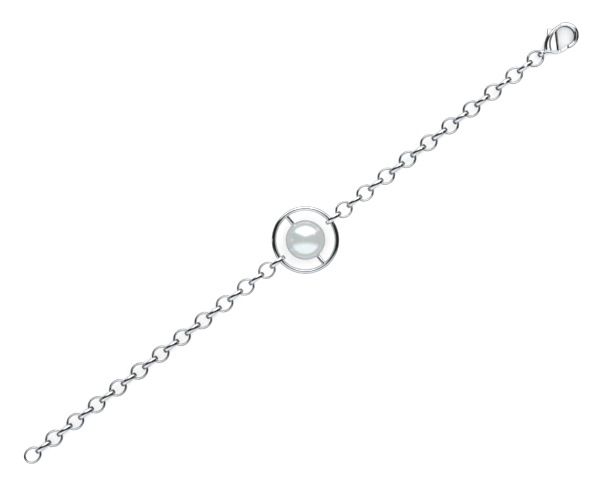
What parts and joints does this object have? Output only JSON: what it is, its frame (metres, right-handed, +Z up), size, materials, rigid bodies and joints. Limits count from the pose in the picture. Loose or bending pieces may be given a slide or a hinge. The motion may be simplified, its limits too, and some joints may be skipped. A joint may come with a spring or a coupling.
{
  "type": "pearl bracelet",
  "caption": "Silver cable-chain bracelet laid out straight, with one white pearl on a crossbar inside a wire ring and a lobster clasp at one end.",
  "frame": {"origin": "centre of the whole bracelet's footprint, on the surface it lies on", "axes": "+X along the chain towards the clasp, +Z up"},
  "size_m": [0.178, 0.0172, 0.01],
  "materials": {
    "silver": "polished silver, rhodium plated",
    "pearl": "smooth white nacre with a soft lustre"
  },
  "bodies": {
    "bracelet": {"chain_left_01": "silver", "chain_left_02": "silver", "chain_left_03": "silver", "chain_left_04": "silver", "chain_left_05": "silver", "chain_left_06": "silver", "chain_left_07": "silver", "chain_left_08": "silver", "chain_left_09": "silver", "chain_left_10": "silver", "chain_left_11": "silver", "chain_left_12": "silver", "chain_left_13": "silver", "chain_left_14": "silver", "chain_left_15": "silver", "chain_left_16": "silver", "chain_left_17": "silver", "chain_left_18": "silver", "chain_left_19": "silver", "chain_left_20": "silver", "chain_left_21": "silver", "chain_left_22": "silver", "chain_left_23": "silver", "chain_left_24": "silver", "chain_right_01": "silver", "chain_right_02": "silver", "chain_right_03": "silver", "chain_right_04": "silver", "chain_right_05": "silver", "chain_right_06": "silver", "chain_right_07": "silver", "chain_right_08": "silver", "chain_right_09": "silver", "chain_right_10": "silver", "chain_right_11": "silver", "chain_right_12": "silver", "chain_right_13": "silver", "chain_right_14": "silver", "chain_right_15": "silver", "chain_right_16": "silver", "chain_right_17": "silver", "chain_right_18": "silver", "chain_right_19": "silver", "chain_right_20": "silver", "clasp_body": "silver", "clasp_pin": "silver", "pearl": "pearl", "ring_setting": "silver"},
    "lever": {"clasp_lever": "silver"}
  },
  "joints": [
    {"name": "clasp_lever_hinge", "type": "hinge", "parent": "bracelet", "child": "lever", "pos_m": [0.08094, -0.00051, 0.0014], "axis": [0, 0, 1], "range_deg": [0, 25], "stiffness_Nm_per_rad": 0.003, "springref_deg": -17.19}
  ]
}
